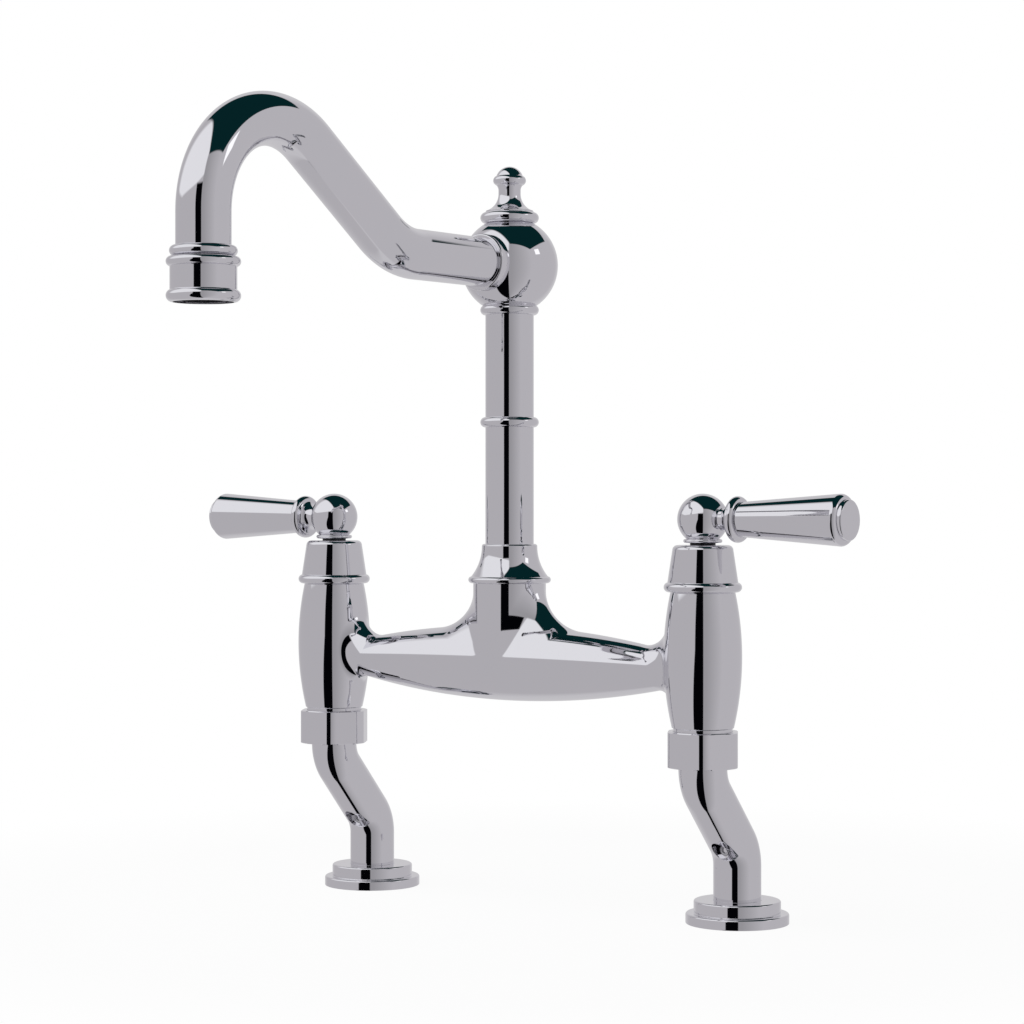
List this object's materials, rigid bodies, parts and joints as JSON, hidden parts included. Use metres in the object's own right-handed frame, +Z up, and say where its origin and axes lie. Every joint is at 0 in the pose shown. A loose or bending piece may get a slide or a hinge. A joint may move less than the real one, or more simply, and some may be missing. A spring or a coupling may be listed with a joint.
{
  "type": "bridge kitchen faucet",
  "caption": "Deck-mounted bridge kitchen faucet in polished chrome with lever handles, crank-shaped legs and a high swivel spout with a ball finial.",
  "frame": {"origin": "on the deck, midway between the two tap holes", "axes": "+X along the bridge to the right lever, +Y to the wall behind the faucet, +Z up; the spout points to -Y at rest"},
  "size_m": [0.346, 0.2724, 0.3491],
  "materials": {
    "chrome": "polished",
    "brass": "turned",
    "steel": "plain",
    "ceramic": "lapped ceramic",
    "rubber": "matt",
    "plastic": "matt",
    "dark": "matt black"
  },
  "bodies": {
    "bridge": {"bridge_body": "chrome", "swivel_ferrule": "chrome", "swivel_bush": "plastic", "left_cover": "chrome", "right_cover": "chrome", "left_cartridge": "brass", "right_cartridge": "brass", "left_fixed_disc": "ceramic", "right_fixed_disc": "ceramic", "cartridge_seals": "rubber", "left_union_nut": "chrome", "right_union_nut": "chrome", "union_washers": "rubber", "left_leg": "chrome", "right_leg": "chrome", "clamp_screws": "steel", "left_foot": "chrome", "right_foot": "chrome", "foot_gaskets": "rubber"},
    "spout": {"column_tube": "chrome", "column_bead": "chrome", "ball_bead": "chrome", "ball_hub": "chrome", "socket_collar": "chrome", "finial": "chrome", "finial_stud": "brass", "spout_tube": "chrome", "outlet_collar": "chrome", "aerator_washer": "rubber", "aerator_body": "dark", "aerator_mesh": "steel", "spout_tail": "brass", "tail_seals": "rubber", "spout_keeper": "steel"},
    "left_lever": {"left_hub": "chrome", "left_neck": "chrome", "left_grip": "chrome", "left_button": "chrome", "left_stud": "steel", "left_grub": "steel", "left_spindle": "dark", "left_spindle_seals": "rubber", "left_spindle_clip": "steel", "left_moving_disc": "ceramic"},
    "right_lever": {"right_hub": "chrome", "right_neck": "chrome", "right_grip": "chrome", "right_button": "chrome", "right_stud": "steel", "right_grub": "steel", "right_spindle": "dark", "right_spindle_seals": "rubber", "right_spindle_clip": "steel", "right_moving_disc": "ceramic"}
  },
  "joints": [
    {"name": "spout_swivel", "type": "hinge", "parent": "bridge", "child": "spout", "pos_m": [0, -0.0291, 0.16], "axis": [0, 0, 1], "continuous": true},
    {"name": "left_lever_turn", "type": "hinge", "parent": "bridge", "child": "left_lever", "pos_m": [-0.1016, -0.0291, 0.166], "axis": [0, 0, 1], "range_deg": [0, 90]},
    {"name": "right_lever_turn", "type": "hinge", "parent": "bridge", "child": "right_lever", "pos_m": [0.1016, -0.0291, 0.166], "axis": [0, 0, 1], "range_deg": [-90, 0]}
  ]
}
